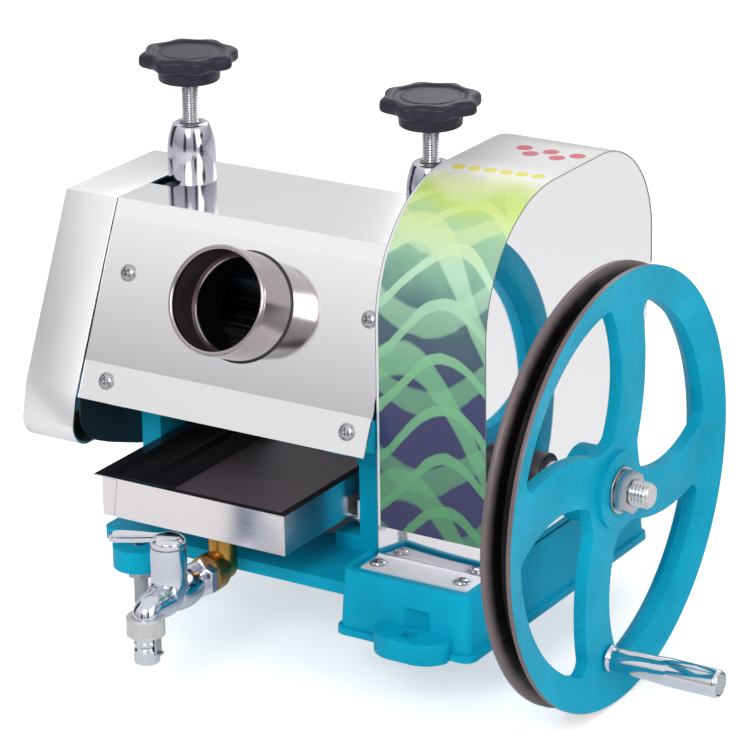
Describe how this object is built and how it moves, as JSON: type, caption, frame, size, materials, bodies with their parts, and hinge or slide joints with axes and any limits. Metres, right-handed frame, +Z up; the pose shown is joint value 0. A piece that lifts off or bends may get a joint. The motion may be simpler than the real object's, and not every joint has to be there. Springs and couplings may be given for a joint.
{
  "type": "manual sugarcane juicer",
  "caption": "Hand-cranked sugarcane juicer: spoked flywheel, geared roller mill, feed tube, spring columns with star knobs, sliding juice tray with lever tap.",
  "frame": {"origin": "midway between the two bench bolt holes of the gear box casting, on its underside", "axes": "+X along the roller axes towards the flywheel, +Y from the tap towards the back, +Z up"},
  "size_m": [0.5216, 0.3842, 0.386],
  "materials": {
    "teal_cast": "sprayed enamel over a fine sand-cast surface",
    "bright_sheet": "polished stainless sheet with faint grain",
    "printed_sheet": "sheet with a glossy printed pattern that fades from pale green to dark blue",
    "chrome": "bright plated",
    "zinc": "zinc plated fasteners",
    "gear_steel": "machined and lightly oiled",
    "roller_steel": "turned stainless",
    "bronze": "sintered bearing bronze",
    "brass": "cast and turned brass",
    "black_plastic": "moulded, satin gloss",
    "black_collar": "matt black",
    "spring_steel": "blued spring steel",
    "tray_sheet": "polished thin sheet",
    "whitened_zinc": "knurled and matt plated"
  },
  "bodies": {
    "frame": {"base_casting": "teal_cast", "left_side_frame": "teal_cast", "right_side_frame": "teal_cast", "frame_caps": "teal_cast", "frame_bolts": "zinc", "plate_bolts": "zinc", "frame_bushes": "bronze", "outboard_stand": "teal_cast", "tray_rails": "bright_sheet", "front_panel": "bright_sheet", "rear_panel": "bright_sheet", "top_cover": "bright_sheet", "panel_screws": "zinc", "feed_tube": "bright_sheet", "discharge_chute": "bright_sheet", "end_cover": "bright_sheet", "cover_posts": "zinc", "gear_guard": "printed_sheet", "guard_side_plate": "bright_sheet", "guard_inner_plate": "bright_sheet", "cover_screws": "zinc", "spring_columns": "chrome", "guide_plate": "roller_steel", "left_disc_springs": "spring_steel", "right_disc_springs": "spring_steel"},
    "left_thrust": {"left_thrust_pad": "gear_steel"},
    "right_thrust": {"right_thrust_pad": "gear_steel"},
    "left_knob_body": {"left_knob": "black_plastic", "left_press_screw": "zinc"},
    "right_knob_body": {"right_knob": "black_plastic", "right_press_screw": "zinc"},
    "top_carrier": {"bearing_blocks": "gear_steel", "block_bushes": "bronze"},
    "top_roller_body": {"top_roller": "roller_steel", "top_roller_gear": "gear_steel", "drive_gear": "gear_steel", "top_roller_keys": "gear_steel"},
    "front_roller_body": {"front_roller": "roller_steel", "front_roller_gear": "gear_steel", "front_roller_key": "gear_steel"},
    "rear_roller_body": {"rear_roller": "roller_steel", "rear_roller_gear": "gear_steel", "rear_roller_key": "gear_steel"},
    "flywheel_body": {"drive_shaft": "zinc", "drive_pinion": "gear_steel", "shaft_keys": "gear_steel", "shaft_collar": "black_collar", "flywheel": "teal_cast", "hub_nut": "zinc", "handle_stud": "zinc", "handle_nut": "zinc"},
    "handle_body": {"crank_handle": "chrome"},
    "tray_body": {"juice_tray": "tray_sheet", "outlet_elbow": "brass", "tap_body": "chrome", "tap_ring": "whitened_zinc", "tap_nozzle": "chrome", "nozzle_clip": "zinc"},
    "lever_body": {"tap_lever": "chrome"}
  },
  "joints": [
    {"name": "flywheel_turn", "type": "hinge", "parent": "frame", "child": "flywheel_body", "pos_m": [0.06, -0.0435, 0.109], "axis": [1, 0, 0], "continuous": true},
    {"name": "handle_spin", "type": "hinge", "parent": "flywheel_body", "child": "handle_body", "pos_m": [0.15, -0.05099, -0.01001], "axis": [1, 0, 0], "continuous": true},
    {"name": "top_roller_lift", "type": "slide", "parent": "frame", "child": "top_carrier", "axis": [0, 0, 1], "range_m": [0, 0.002], "stiffness_N_per_m": 40000, "springref_m": -0.002, "deforming": ["left_disc_springs", "right_disc_springs"]},
    {"name": "top_roller_turn", "type": "hinge", "parent": "top_carrier", "child": "top_roller_body", "pos_m": [-0.1665, 0.0135, 0.19718], "axis": [1, 0, 0], "continuous": true},
    {"name": "front_roller_turn", "type": "hinge", "parent": "frame", "child": "front_roller_body", "pos_m": [-0.1665, -0.024, 0.13807], "axis": [1, 0, 0], "continuous": true},
    {"name": "rear_roller_turn", "type": "hinge", "parent": "frame", "child": "rear_roller_body", "pos_m": [-0.1665, 0.051, 0.13807], "axis": [1, 0, 0], "continuous": true},
    {"name": "left_thrust_slide", "type": "slide", "parent": "frame", "child": "left_thrust", "axis": [0, 0, 1], "range_m": [0, 0.0053]},
    {"name": "left_knob_turn", "type": "hinge", "parent": "left_thrust", "child": "left_knob_body", "pos_m": [-0.265, 0.0135, 0.3], "axis": [0, 0, 1], "range_deg": [0, 1080]},
    {"name": "right_thrust_slide", "type": "slide", "parent": "frame", "child": "right_thrust", "axis": [0, 0, 1], "range_m": [0, 0.0053]},
    {"name": "right_knob_turn", "type": "hinge", "parent": "right_thrust", "child": "right_knob_body", "pos_m": [-0.068, 0.0135, 0.3], "axis": [0, 0, 1], "range_deg": [0, 1080]},
    {"name": "tray_slide", "type": "slide", "parent": "frame", "child": "tray_body", "axis": [0, -1, 0], "range_m": [0, 0.15]},
    {"name": "tap_lever_turn", "type": "hinge", "parent": "tray_body", "child": "lever_body", "pos_m": [-0.1515, -0.1905, 0.07], "axis": [0, 0, 1], "range_deg": [0, 90]}
  ],
  "couplings": [
    {"joint": "top_roller_turn", "follows": "flywheel_turn", "ratio": -0.27273},
    {"joint": "front_roller_turn", "follows": "flywheel_turn", "ratio": 0.27273},
    {"joint": "rear_roller_turn", "follows": "flywheel_turn", "ratio": 0.27273},
    {"joint": "left_thrust_slide", "follows": "left_knob_turn", "m_per_rad": 0.00027852},
    {"joint": "right_thrust_slide", "follows": "right_knob_turn", "m_per_rad": 0.00027852}
  ]
}
